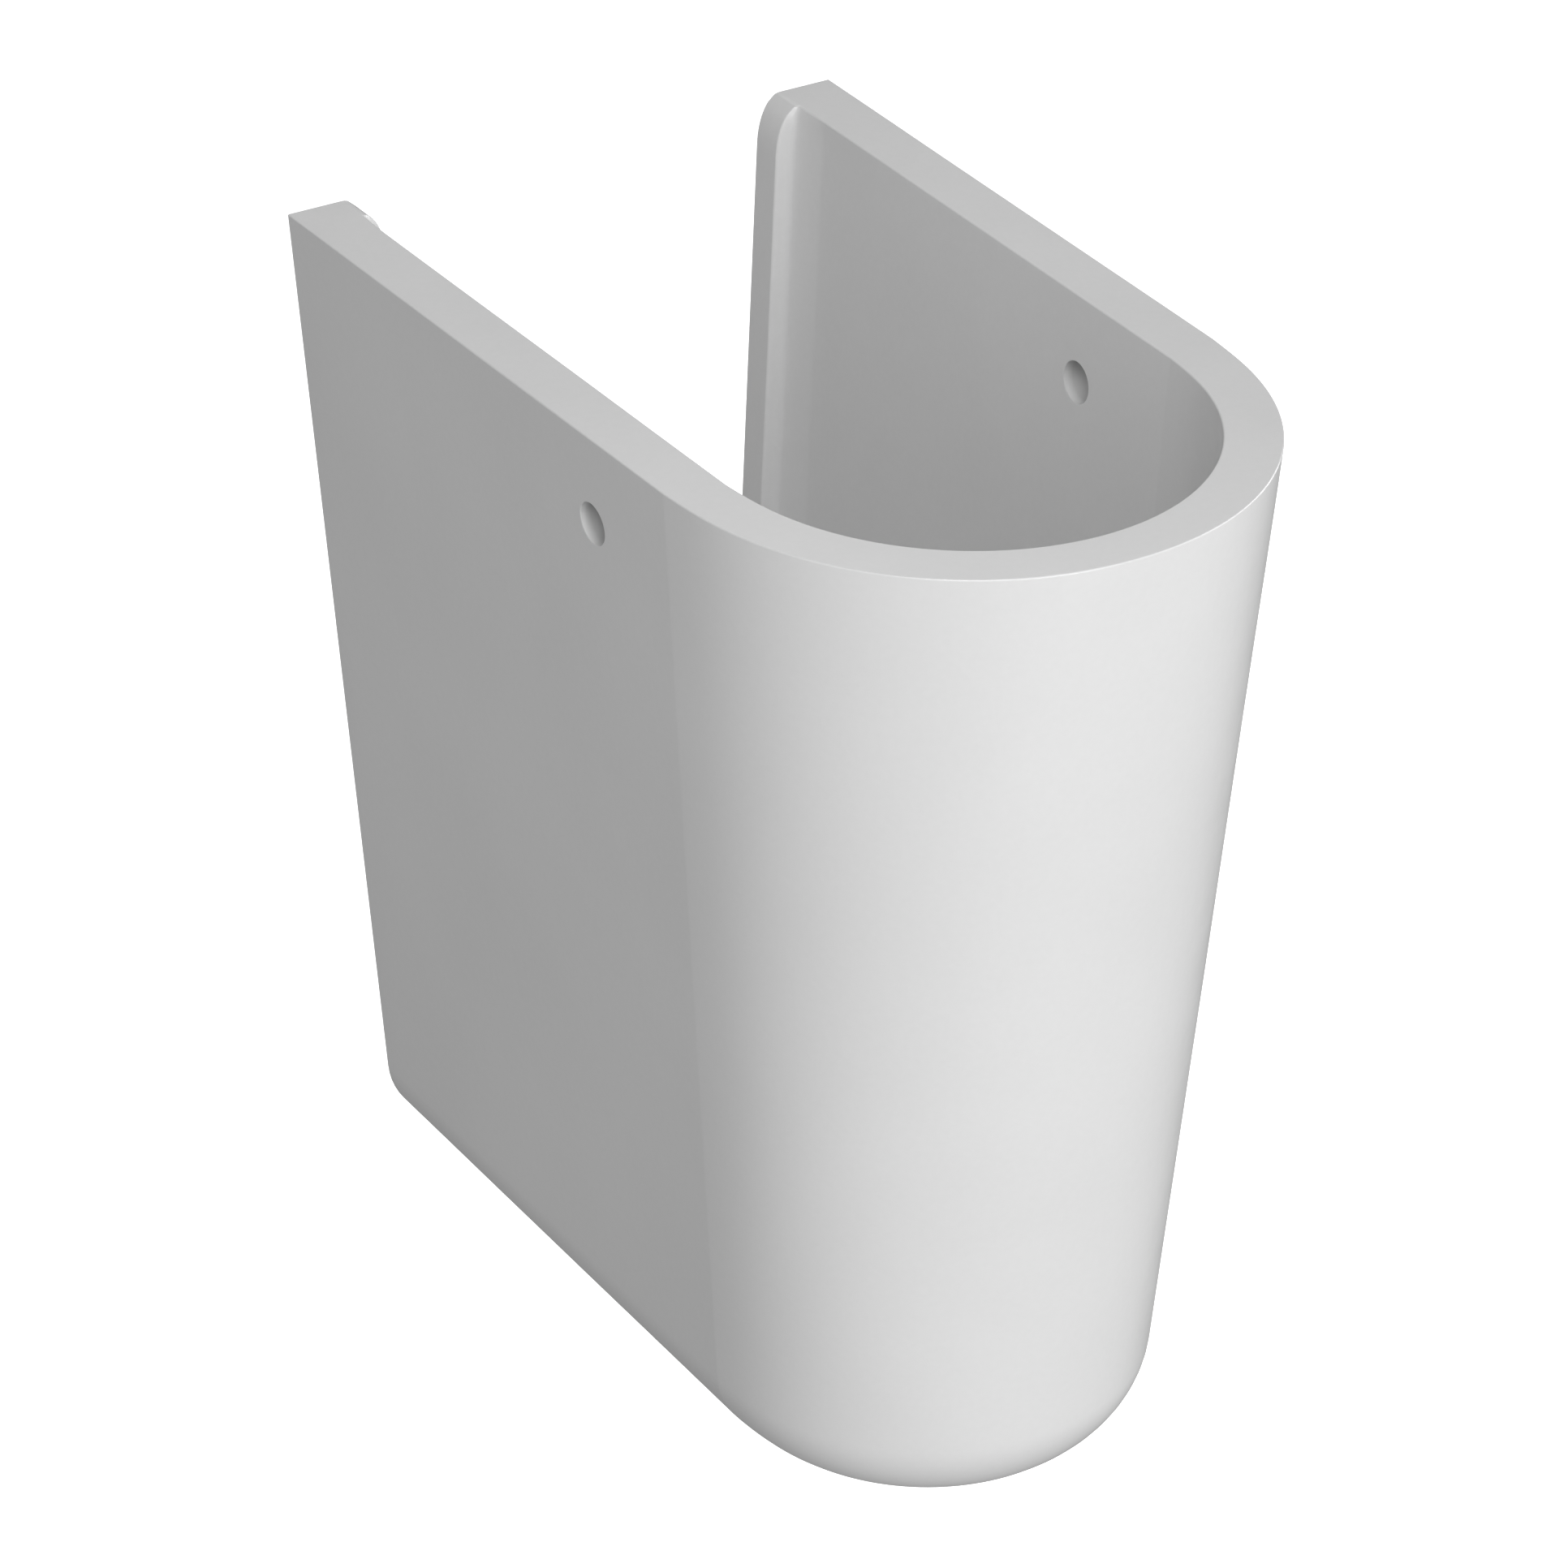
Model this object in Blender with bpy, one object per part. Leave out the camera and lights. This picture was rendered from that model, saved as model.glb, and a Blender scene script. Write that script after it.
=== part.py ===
"""Wall-hung half pedestal for a wash basin: the china shroud that hides the trap, and its wall fixings.

The shroud is one slip-cast piece of glazed vitreous china, U-shaped in plan, open at the top, at the
back and underneath. Two lugs inside its back edges hook over sleeved studs, which stand out of plugs in
the wall. A washer and a nut keep each lug against the wall, and a push-on cap covers each nut.

Frame: metres, +Z up. The wall is the plane Y = 0 and the front faces -Y. X = 0 is the centreline and
Z = 0 is the shroud's underside.
"""

import math

import bmesh
import bpy
from mathutils import Vector

MM = 0.001
GAP = 0.3 * MM  # between pieces that touch

# The shroud's outside at its top, and how much each size shrinks from the top to the underside.
HEIGHT = 356.5 * MM
HALF_WIDTH = 100.4 * MM
HALF_WIDTH_LOSS = 24.7 * MM
SIDE_LENGTH = 224.8 * MM  # the flat sides, measured from the wall
SIDE_LENGTH_LOSS = 10.4 * MM
FRONT_DEPTH = 103.7 * MM  # the rounded front, measured from the ends of the flat sides
FRONT_DEPTH_LOSS = 27.0 * MM
TOE_IN = 0.958  # half width where the front begins, as a share of the half width at the wall
FRONT_FULLNESS = 0.022  # how far the outside's rounded front swells past an ellipse; the inner face has none

# The wall of the casting, thickest at the rim. Its inner face is the same outline, inset.
WALL = 19.3 * MM
WALL_LOSS = 7.6 * MM  # how much thinner the wall is at the underside
SIDE_GAIN = 4.3 * MM  # the inner face's flat sides are this much longer than the outer face's
FRONT_LOSS = 21.3 * MM  # the inner face's front is this much shallower than the outer face's
RIM_EDGE = 0.5 * MM  # radius of the top rim's two edges

# The foot: the outside rolls under, and an inward rim ends in a rounded lip.
FOOT_ROLL = 28.7 * MM
FOOT_WIDTH = 40.0 * MM
FOOT_THICKNESS = 16.0 * MM
FOOT_LIP = 5.0 * MM
FOOT_FILLET = 12.0 * MM

# A rib stiffens each rear edge on the inside. Its front meets the wall in a fillet and a shallow run-out.
RIB_DEPTH = 12.9 * MM
RIB_HEIGHT = 7.9 * MM
RIB_DRAFT = 0.5 * MM  # how far the rib's front leans, so that the mould comes away
RIB_FILLET = 3.0 * MM
RIB_TAIL_LENGTH = 14.0 * MM
RIB_TAIL_HEIGHT = 2.0 * MM
RIB_TAIL_POWER = 1.2  # 1 is a flat ramp, and more than 1 eases it into the wall
RIB_TOP_ROUND = 16.0 * MM

CUTTER_REACH = 5.0 * MM  # how far a cutter runs past what it cuts

# A hole through each side, square to the tapered wall.
HOLE_RADIUS = 6.8 * MM
HOLE_FROM_WALL = 181.3 * MM
HOLE_BELOW_RIM = 29.8 * MM

# The lugs that hook over the studs.
STUD_SPREAD = 45.0 * MM  # each stud's distance from the centreline
STUD_HEIGHT = 85.0 * MM
LUG_INNER_END = 29.0 * MM
LUG_OUTER_END = 74.0 * MM
LUG_BOTTOM = 70.0 * MM
LUG_TOP = 106.0 * MM
LUG_SET_BACK = 1.0 * MM  # the lug's back face stays off the wall
LUG_THICKNESS = 15.0 * MM
LUG_CORNER = 8.0 * MM
SLOT_CLEARANCE = 0.6 * MM

# The fixings, as distances out of the wall along each stud.
SLEEVE_RADIUS = 7.0 * MM
SLEEVE_BORE = 4.4 * MM
SLEEVE_CHAMFER = 0.5 * MM
FLANGE_RADIUS = 12.0 * MM
FLANGE_THICKNESS = 3.0 * MM
LUG_FRONT = LUG_SET_BACK + LUG_THICKNESS
FLANGE_BACK = LUG_FRONT + GAP
FLANGE_FRONT = FLANGE_BACK + FLANGE_THICKNESS
WASHER_RADIUS = 8.0 * MM
WASHER_BORE = 4.3 * MM
WASHER_BACK = FLANGE_FRONT + GAP
WASHER_FRONT = WASHER_BACK + 2.0 * MM
WASHER_CHAMFER = 0.3 * MM
NUT_ACROSS_FLATS = 13.0 * MM
NUT_BORE = 4.2 * MM
NUT_BACK = WASHER_FRONT + GAP
NUT_FRONT = NUT_BACK + 6.5 * MM
NUT_CHAMFER_RADIUS = 6.3 * MM
NUT_CHAMFER = 0.8 * MM
STUD_RADIUS = 3.9 * MM
STUD_END = 36.0 * MM
STUD_CHAMFER = 0.8 * MM
SCREW_RADIUS = 3.2 * MM
SCREW_LENGTH = 42.0 * MM
SCREW_TIP = 6.0 * MM
CAP_RADIUS = 10.0 * MM
CAP_BORE = 8.2 * MM
CAP_SHOULDER = 31.0 * MM
CAP_END = 39.5 * MM
CAP_SKIN = 1.8 * MM
PLUG_RADIUS = 5.0 * MM
PLUG_BORE = 3.7 * MM
PLUG_LENGTH = 50.0 * MM
PLUG_END_WALL = 3.0 * MM
PLUG_COLLAR = 6.0 * MM
PLUG_RINGS = 6
PLUG_RING_DEPTH = 0.7 * MM
PLUG_RING_SLOPE = 0.2  # the share of a ring's length that its steep end takes
PLUG_NOSE = 2.0 * MM

# How finely the round shapes are divided.
FRONT_STEPS = 40
ROLL_STEPS = 8
FILLET_STEPS = 5
LIP_STEPS = 4
RIB_STEPS = 5
TAIL_STEPS = 3
SIDE_STEPS = 4
WALL_STEPS = 4
TURNED_STEPS = 24
NUT_STEPS = 24


def clear_scene():
    for obj in list(bpy.data.objects):
        bpy.data.objects.remove(obj, do_unlink=True)


def material(name, color, roughness, metallic=0.0):
    made = bpy.data.materials.new(name)
    made.use_nodes = True
    shader = made.node_tree.nodes["Principled BSDF"]
    shader.inputs["Base Color"].default_value = (*color, 1.0)
    shader.inputs["Roughness"].default_value = roughness
    shader.inputs["Metallic"].default_value = metallic
    return made


def link(name, mesh, finish=None, location=(0.0, 0.0, 0.0)):
    obj = bpy.data.objects.new(name, mesh)
    obj.location = location
    bpy.context.scene.collection.objects.link(obj)
    if finish:
        mesh.materials.append(finish)
        mesh.shade_smooth()
        mesh.set_sharp_from_angle(angle=math.radians(35.0))
    return obj


def make_helper(obj):
    obj.hide_render = True
    obj.display_type = "WIRE"


def mesh_from(name, bm):
    bmesh.ops.recalc_face_normals(bm, faces=bm.faces)
    mesh = bpy.data.meshes.new(name)
    bm.to_mesh(mesh)
    bm.free()
    return mesh


def quarter_turn(steps, first=0):
    """Angles from 0 to 90 degrees, both ends counted, from step `first` on."""
    return [0.5 * math.pi * i / steps for i in range(first, steps + 1)]


# ---------------------------------------------------------------- the shroud


def thickness(z):
    """The wall's thickness at height z."""
    return WALL - WALL_LOSS * (HEIGHT - z) / HEIGHT


def rib_height(z, fillet=0.0):
    """How far the rear rib stands off the inner face at height z.

    It is rounded off under the rim, and blends into what the foot's fillet already adds to the wall.
    """
    from_rim = HEIGHT - z
    if from_rim < RIB_TOP_ROUND:
        return RIB_HEIGHT * math.sqrt(1.0 - (1.0 - from_rim / RIB_TOP_ROUND) ** 2)
    return (RIB_HEIGHT**3 + fillet**3) ** (1.0 / 3.0) - fillet


def side_stations():
    """(distance from the wall, share of the rib's height) over the rib, its fillet and its run-out."""
    tail_angle = math.atan(RIB_TAIL_POWER * RIB_TAIL_HEIGHT / RIB_TAIL_LENGTH)
    turn = 0.5 * math.pi - tail_angle
    stations = [(0.0, 1.0), (RIB_DEPTH, 1.0)]
    for i in range(RIB_STEPS + 1):
        angle = turn * i / RIB_STEPS
        off_wall = RIB_TAIL_HEIGHT + RIB_FILLET * (math.sin(turn) - math.sin(angle))
        distance = RIB_DEPTH + RIB_DRAFT + RIB_FILLET * (1.0 - math.cos(angle))
        stations.append((distance, off_wall / RIB_HEIGHT))
    tail_start = stations[-1][0]
    for i in range(1, TAIL_STEPS + 1):
        along = i / TAIL_STEPS
        off_wall = RIB_TAIL_HEIGHT * (1.0 - along) ** RIB_TAIL_POWER
        stations.append((tail_start + RIB_TAIL_LENGTH * along, off_wall / RIB_HEIGHT))
    return stations


def plan_row(z, inset, rib):
    """The plan outline at height z, inset from the outside, from the left rear round to the right rear."""
    down = (HEIGHT - z) / HEIGHT
    share = inset / WALL
    width = HALF_WIDTH - HALF_WIDTH_LOSS * down - inset
    length = SIDE_LENGTH - SIDE_LENGTH_LOSS * down + SIDE_GAIN * share
    depth = FRONT_DEPTH - FRONT_DEPTH_LOSS * down - FRONT_LOSS * share
    side = []
    stations = side_stations()
    for distance, rib_share in stations:
        toe = 1.0 - (1.0 - TOE_IN) * distance / length
        side.append((width * toe - rib * rib_share, -distance))
    reach = stations[-1][0]
    for i in range(1, SIDE_STEPS):
        distance = reach + (length - reach) * i / SIDE_STEPS
        side.append((width * (1.0 - (1.0 - TOE_IN) * distance / length), -distance))
    left = [Vector((-x, y, z)) for x, y in side]
    right = [Vector((x, y, z)) for x, y in reversed(side)]
    front = []
    power = 1.0 - FRONT_FULLNESS * max(0.0, 1.0 - share)
    for i in range(FRONT_STEPS + 1):
        angle = math.pi * i / FRONT_STEPS
        across = math.copysign(abs(math.cos(angle)) ** power, math.cos(angle))
        ahead = max(0.0, math.sin(angle)) ** power
        front.append(Vector((-width * TOE_IN * across, -length - depth * ahead, z)))
    return left + front + right


def wall_profile():
    """(height, inset, rib height) round the cross-section.

    It runs down the outside, under the foot and up the inside.
    """
    profile = []
    for angle in quarter_turn(2):
        inset = RIM_EDGE * (1.0 - math.sin(angle))
        profile.append((HEIGHT - RIM_EDGE * (1.0 - math.cos(angle)), inset, 0.0))
    straight = HEIGHT - RIM_EDGE - FOOT_ROLL
    for i in range(1, WALL_STEPS):
        profile.append((HEIGHT - RIM_EDGE - straight * i / WALL_STEPS, 0.0, 0.0))
    for angle in quarter_turn(ROLL_STEPS):
        profile.append((FOOT_ROLL * (1.0 - math.sin(angle)), FOOT_ROLL * (1.0 - math.cos(angle)), 0.0))
    for angle in quarter_turn(LIP_STEPS):
        inset = FOOT_WIDTH - FOOT_LIP * (1.0 - math.sin(angle))
        profile.append((FOOT_LIP * (1.0 - math.cos(angle)), inset, 0.0))
    for angle in quarter_turn(LIP_STEPS):
        inset = FOOT_WIDTH - FOOT_LIP * (1.0 - math.cos(angle))
        profile.append((FOOT_THICKNESS - FOOT_LIP * (1.0 - math.sin(angle)), inset, 0.0))
    for angle in quarter_turn(FILLET_STEPS):
        z = FOOT_THICKNESS + FOOT_FILLET * (1.0 - math.cos(angle))
        fillet = FOOT_FILLET * (1.0 - math.sin(angle))
        profile.append((z, thickness(z) + fillet, rib_height(z, fillet)))
    bottom = FOOT_THICKNESS + FOOT_FILLET
    top = HEIGHT - RIB_TOP_ROUND
    heights = [bottom + (top - bottom) * i / WALL_STEPS for i in range(1, WALL_STEPS)]
    for angle in reversed(quarter_turn(RIB_STEPS, first=2)):
        heights.append(HEIGHT - RIB_TOP_ROUND * (1.0 - math.cos(angle)))
    profile += [(z, thickness(z), rib_height(z)) for z in heights]
    for angle in reversed(quarter_turn(2)):
        z = HEIGHT - RIM_EDGE * (1.0 - math.cos(angle))
        inset = thickness(z) - RIM_EDGE * (1.0 - math.sin(angle))
        profile.append((z, inset, rib_height(z)))
    return profile


def shroud_mesh():
    bm = bmesh.new()
    rows = []
    for z, inset, rib in wall_profile():
        rows.append([bm.verts.new(point) for point in plan_row(z, inset, rib)])
    for row, following in zip(rows, rows[1:] + rows[:1]):
        for i in range(len(row) - 1):
            bm.faces.new((row[i], row[i + 1], following[i + 1], following[i]))
    bm.faces.new([row[0] for row in rows])
    bm.faces.new([row[-1] for row in reversed(rows)])
    return mesh_from("ceramic_shroud", bm)


def extruded(name, outline, start, end):
    """A closed prism of an (x, z) outline, from Y = start to Y = end."""
    bm = bmesh.new()
    near = [bm.verts.new((x, start, z)) for x, z in outline]
    far = [bm.verts.new((x, end, z)) for x, z in outline]
    bm.faces.new(near)
    bm.faces.new(list(reversed(far)))
    for i in range(len(outline)):
        j = (i + 1) % len(outline)
        bm.faces.new((near[i], near[j], far[j], far[i]))
    return mesh_from(name, bm)


def lug(side):
    """A thick web from the rib to beyond the stud, its two inner corners rounded."""
    outline = [(side * LUG_OUTER_END, LUG_BOTTOM), (side * LUG_OUTER_END, LUG_TOP)]
    for angle in quarter_turn(FILLET_STEPS):
        x = LUG_INNER_END + LUG_CORNER * (1.0 - math.sin(angle))
        outline.append((side * x, LUG_TOP - LUG_CORNER * (1.0 - math.cos(angle))))
    outline.append((side * LUG_INNER_END, LUG_BOTTOM))
    made = link("lug", extruded("lug", outline, -LUG_SET_BACK, -LUG_FRONT))
    make_helper(made)
    return made


def slot_cutter(side):
    """The lug's slot: open below, with a round top that rests on the stud's sleeve."""
    radius = SLEEVE_RADIUS + SLOT_CLEARANCE
    centre = STUD_HEIGHT + GAP - SLOT_CLEARANCE
    below = LUG_BOTTOM - CUTTER_REACH
    outline = [(side * (STUD_SPREAD - radius), below)]
    for i in range(TURNED_STEPS // 2 + 1):
        angle = math.pi - 2.0 * math.pi * i / TURNED_STEPS
        outline.append((side * (STUD_SPREAD + radius * math.cos(angle)), centre + radius * math.sin(angle)))
    outline.append((side * (STUD_SPREAD + radius), below))
    mesh = extruded("slot_cutter", outline, CUTTER_REACH, -LUG_FRONT - CUTTER_REACH)
    made = link("slot_cutter", mesh)
    make_helper(made)
    return made


def hole_cutter(side):
    """A cylinder square to the tapered side wall, through the wall's middle."""
    toe = 1.0 - (1.0 - TOE_IN) * HOLE_FROM_WALL / SIDE_LENGTH
    width = HALF_WIDTH - HALF_WIDTH_LOSS * HOLE_BELOW_RIM / HEIGHT
    centre = Vector((side * (width * toe - 0.5 * WALL), -HOLE_FROM_WALL, HEIGHT - HOLE_BELOW_RIM))
    normal = Vector((1.0, -HALF_WIDTH * (1.0 - TOE_IN) / SIDE_LENGTH, -HALF_WIDTH_LOSS / HEIGHT))
    normal.x *= side
    bm = bmesh.new()
    bmesh.ops.create_cone(
        bm, cap_ends=True, segments=TURNED_STEPS, radius1=HOLE_RADIUS, radius2=HOLE_RADIUS,
        depth=WALL + 2.0 * CUTTER_REACH,
    )
    made = link("hole_cutter", mesh_from("hole_cutter", bm), location=centre)
    made.rotation_mode = "QUATERNION"
    made.rotation_quaternion = normal.to_track_quat("Z", "Y")
    make_helper(made)
    return made


def ceramic_shroud(china):
    shroud = link("ceramic_shroud", shroud_mesh(), china)
    operations = []
    for side in (-1.0, 1.0):
        operations.append(("UNION", lug(side)))
        operations.append(("DIFFERENCE", slot_cutter(side)))
        operations.append(("DIFFERENCE", hole_cutter(side)))
    for operation, helper in operations:
        modifier = shroud.modifiers.new(helper.name, "BOOLEAN")
        modifier.operation = operation
        modifier.solver = "EXACT"
        modifier.object = helper
    return shroud


# ---------------------------------------------------------------- the fixings


def turned_mesh(name, profile, steps, closed_ring, radius_at=lambda radius, angle: radius):
    """A body of revolution about the stud's axis, which is the local Y axis and leaves the wall along -Y.

    The profile lists (radius, distance out of the wall). A radius of 0 is a point on the axis.
    A ring's profile closes on itself, as round a washer.
    """
    bm = bmesh.new()
    rings = []
    for radius, distance in profile:
        if radius == 0.0:
            rings.append([bm.verts.new((0.0, -distance, 0.0))])
            continue
        ring = []
        for i in range(steps):
            angle = 2.0 * math.pi * i / steps
            r = radius_at(radius, angle)
            ring.append(bm.verts.new((r * math.cos(angle), -distance, r * math.sin(angle))))
        rings.append(ring)
    pairs = list(zip(rings, rings[1:]))
    if closed_ring:
        pairs.append((rings[-1], rings[0]))
    for a, b in pairs:
        for i in range(steps):
            j = (i + 1) % steps
            if len(a) == 1:
                bm.faces.new((a[0], b[i], b[j]))
            elif len(b) == 1:
                bm.faces.new((a[i], a[j], b[0]))
            else:
                bm.faces.new((a[i], a[j], b[j], b[i]))
    return mesh_from(name, bm)


def wall_plug_mesh():
    """A blind nylon plug in the wall, its sides stepped into gripping rings."""
    inner_end = PLUG_LENGTH - PLUG_END_WALL
    profile = [(0.0, -inner_end), (PLUG_BORE, -inner_end), (PLUG_BORE, -GAP), (PLUG_RADIUS, -GAP)]
    profile.append((PLUG_RADIUS, -PLUG_COLLAR))
    pitch = (PLUG_LENGTH - PLUG_COLLAR - PLUG_NOSE) / PLUG_RINGS
    for i in range(PLUG_RINGS):
        start = PLUG_COLLAR + pitch * i
        profile.append((PLUG_RADIUS - PLUG_RING_DEPTH, -start - PLUG_RING_SLOPE * pitch))
        profile.append((PLUG_RADIUS, -start - pitch))
    profile += [(PLUG_RADIUS - PLUG_RING_DEPTH, -PLUG_LENGTH), (0.0, -PLUG_LENGTH)]
    return turned_mesh("wall_plug", profile, TURNED_STEPS // 2, closed_ring=False)


def stud_mesh():
    """A hanger stud, its threads left plain: a machine thread outside, a wood screw in the plug."""
    profile = [
        (0.0, -SCREW_LENGTH),
        (SCREW_RADIUS, -SCREW_LENGTH + SCREW_TIP),
        (SCREW_RADIUS, 0.0),
        (STUD_RADIUS, STUD_RADIUS - SCREW_RADIUS),
        (STUD_RADIUS, STUD_END - STUD_CHAMFER),
        (STUD_RADIUS - STUD_CHAMFER, STUD_END),
        (0.0, STUD_END),
    ]
    return turned_mesh("stud", profile, TURNED_STEPS, closed_ring=False)


def sleeve_mesh():
    """A nylon sleeve with a flange, so that the lug rests on plastic and not on steel."""
    profile = [
        (SLEEVE_BORE, GAP),
        (SLEEVE_RADIUS - SLEEVE_CHAMFER, GAP),
        (SLEEVE_RADIUS, GAP + SLEEVE_CHAMFER),
        (SLEEVE_RADIUS, FLANGE_BACK),
        (FLANGE_RADIUS, FLANGE_BACK),
        (FLANGE_RADIUS, FLANGE_FRONT - SLEEVE_CHAMFER),
        (FLANGE_RADIUS - SLEEVE_CHAMFER, FLANGE_FRONT),
        (SLEEVE_BORE, FLANGE_FRONT),
    ]
    return turned_mesh("sleeve", profile, TURNED_STEPS, closed_ring=True)


def washer_mesh():
    profile = [
        (WASHER_BORE, WASHER_BACK),
        (WASHER_RADIUS, WASHER_BACK),
        (WASHER_RADIUS, WASHER_FRONT - WASHER_CHAMFER),
        (WASHER_RADIUS - WASHER_CHAMFER, WASHER_FRONT),
        (WASHER_BORE, WASHER_FRONT),
    ]
    return turned_mesh("washer", profile, TURNED_STEPS, closed_ring=True)


def hexagon_radius(radius, angle):
    """The nut's outline: a hexagon's distance from the axis, cut off at radius. The bore stays round."""
    if radius <= NUT_BORE:
        return radius
    sixth = math.pi / 3.0
    from_flat = (angle + 0.5 * sixth) % sixth - 0.5 * sixth
    return min(radius, 0.5 * NUT_ACROSS_FLATS / math.cos(from_flat))


def nut_mesh():
    corner = NUT_ACROSS_FLATS / math.sqrt(3.0)
    profile = [
        (NUT_BORE, NUT_BACK),
        (NUT_CHAMFER_RADIUS, NUT_BACK),
        (corner, NUT_BACK + NUT_CHAMFER),
        (corner, NUT_FRONT - NUT_CHAMFER),
        (NUT_CHAMFER_RADIUS, NUT_FRONT),
        (NUT_BORE, NUT_FRONT),
    ]
    return turned_mesh("nut", profile, NUT_STEPS, closed_ring=True, radius_at=hexagon_radius)


def cap_mesh():
    """A domed push-on cap, open towards the washer."""
    profile = [(0.0, CAP_END - CAP_SKIN)]
    for angle in quarter_turn(FILLET_STEPS, first=1):
        along = CAP_END - CAP_SKIN - (CAP_END - CAP_SKIN - CAP_SHOULDER) * (1.0 - math.cos(angle))
        profile.append((CAP_BORE * math.sin(angle), along))
    profile += [(CAP_BORE, NUT_BACK), (CAP_RADIUS, NUT_BACK)]
    for angle in reversed(quarter_turn(FILLET_STEPS, first=1)):
        along = CAP_END - (CAP_END - CAP_SHOULDER) * (1.0 - math.cos(angle))
        profile.append((CAP_RADIUS * math.sin(angle), along))
    profile.append((0.0, CAP_END))
    return turned_mesh("cap", profile, TURNED_STEPS, closed_ring=False)


def wall_fixings(nylon, zinc, plastic):
    """Both sides' fixings. Each piece's origin is on its stud's axis, in the plane of the wall."""
    for side, label in ((-1.0, "left"), (1.0, "right")):
        place = (side * STUD_SPREAD, 0.0, STUD_HEIGHT)
        link(f"{label}_wall_plug", wall_plug_mesh(), nylon, place)
        link(f"{label}_stud", stud_mesh(), zinc, place)
        link(f"{label}_sleeve", sleeve_mesh(), nylon, place)
        link(f"{label}_washer", washer_mesh(), zinc, place)
        link(f"{label}_nut", nut_mesh(), zinc, place)
        link(f"{label}_cap", cap_mesh(), plastic, place)


def main():
    clear_scene()
    ceramic_shroud(material("glazed_china", (0.86, 0.87, 0.87), 0.08))
    wall_fixings(
        nylon=material("grey_nylon", (0.45, 0.46, 0.47), 0.55),
        zinc=material("zinc_steel", (0.62, 0.63, 0.64), 0.35, metallic=1.0),
        plastic=material("white_plastic", (0.85, 0.85, 0.84), 0.3),
    )


main()
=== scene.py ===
"""Looks of the wall-hung half pedestal: a glazed china shroud and the fixings that hold it to the wall.

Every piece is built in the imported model's own frame, in metres: the wall is the plane Y = 0, the front
faces -Y, X = 0 is the centreline and Z = 0 is the underside of the shroud. The floor, the camera and the
lights come last.
"""

import math

import bmesh
import bpy
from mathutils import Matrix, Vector, noise


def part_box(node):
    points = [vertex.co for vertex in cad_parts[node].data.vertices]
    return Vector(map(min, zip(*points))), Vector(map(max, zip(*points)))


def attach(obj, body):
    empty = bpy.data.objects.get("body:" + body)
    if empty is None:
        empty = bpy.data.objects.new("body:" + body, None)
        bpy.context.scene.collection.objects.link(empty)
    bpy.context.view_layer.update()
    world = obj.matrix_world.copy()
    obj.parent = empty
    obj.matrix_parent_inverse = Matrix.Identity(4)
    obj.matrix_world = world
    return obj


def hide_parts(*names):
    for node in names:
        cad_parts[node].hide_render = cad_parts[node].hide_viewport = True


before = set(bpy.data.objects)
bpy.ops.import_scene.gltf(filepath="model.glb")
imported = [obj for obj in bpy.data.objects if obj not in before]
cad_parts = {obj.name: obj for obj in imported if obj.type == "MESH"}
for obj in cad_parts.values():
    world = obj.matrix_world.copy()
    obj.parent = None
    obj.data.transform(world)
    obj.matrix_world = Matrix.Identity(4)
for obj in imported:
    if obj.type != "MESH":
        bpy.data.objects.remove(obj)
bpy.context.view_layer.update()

MM = 0.001
SHROUD_LOW, SHROUD_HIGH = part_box("ceramic_shroud")

# The shroud's outside at its top, and how much each size shrinks from the top to the underside.
RIM_EDGE = 0.5 * MM  # radius of the top rim's edges
HEIGHT = SHROUD_HIGH.z
HALF_WIDTH_LOSS = 24.7 * MM
HALF_WIDTH = SHROUD_HIGH.x + HALF_WIDTH_LOSS * RIM_EDGE / HEIGHT
SIDE_LENGTH = 224.8 * MM
SIDE_LENGTH_LOSS = 10.4 * MM
FRONT_DEPTH_LOSS = 27.0 * MM
FRONT_DEPTH = -SHROUD_LOW.y - SIDE_LENGTH + (SIDE_LENGTH_LOSS + FRONT_DEPTH_LOSS) * RIM_EDGE / HEIGHT
TOE_IN = 0.958  # half width where the front begins, as a share of the half width at the wall
FRONT_FULLNESS = 0.022  # how far the outside's rounded front swells past an ellipse
WALL = 19.3 * MM
WALL_LOSS = 7.6 * MM  # how much thinner the wall is at the underside
SIDE_GAIN = 4.3 * MM  # the inner face's flat sides are longer, and its front is shallower
FRONT_LOSS = 21.3 * MM
REAR_EDGE = 0.4 * MM
CREASE_ANGLE = math.radians(5.0)  # the turn where a flat side meets the rounded front
CREASE_REACH = 14.0 * MM  # how far round the front that turn takes to fade

# The foot: the outside rolls under, and an inward rim ends in a rounded lip.
FOOT_ROLL = 28.7 * MM
FOOT_WIDTH = 40.0 * MM
FOOT_THICKNESS = 16.0 * MM
FOOT_LIP = 5.0 * MM
FOOT_FILLET = 12.0 * MM

# The rib inside each rear edge: a fillet and a shallow run-out lead from its front to the wall.
RIB_DEPTH = 12.9 * MM
RIB_HEIGHT = 7.9 * MM
RIB_DRAFT = 0.5 * MM
RIB_CORNER = 0.8 * MM
RIB_FILLET = 3.0 * MM
RIB_TAIL_LENGTH = 14.0 * MM
RIB_TAIL_HEIGHT = 2.0 * MM
RIB_TAIL_POWER = 1.2  # 1 is a flat ramp, and more than 1 eases it into the wall
RIB_TOP_ROUND = 16.0 * MM

# The hole through each side.
HOLE_RADIUS = 6.8 * MM
HOLE_FROM_WALL = 181.3 * MM
HOLE_BELOW_RIM = 29.8 * MM
HOLE_MOUTH = 0.3 * MM  # radius of the glazed edge round each mouth
PATCH = 12.0 * MM  # half the side of the square of wall that is remade round the hole
PATCH_STEPS = 8
BORE_STEPS = 4
BORE_SHADE_START = 1.0 * MM  # how far in from each mouth the bore's painted shade begins to deepen, and how far in it is at its darkest
BORE_SHADE_DARKEST = 3.5 * MM

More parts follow.
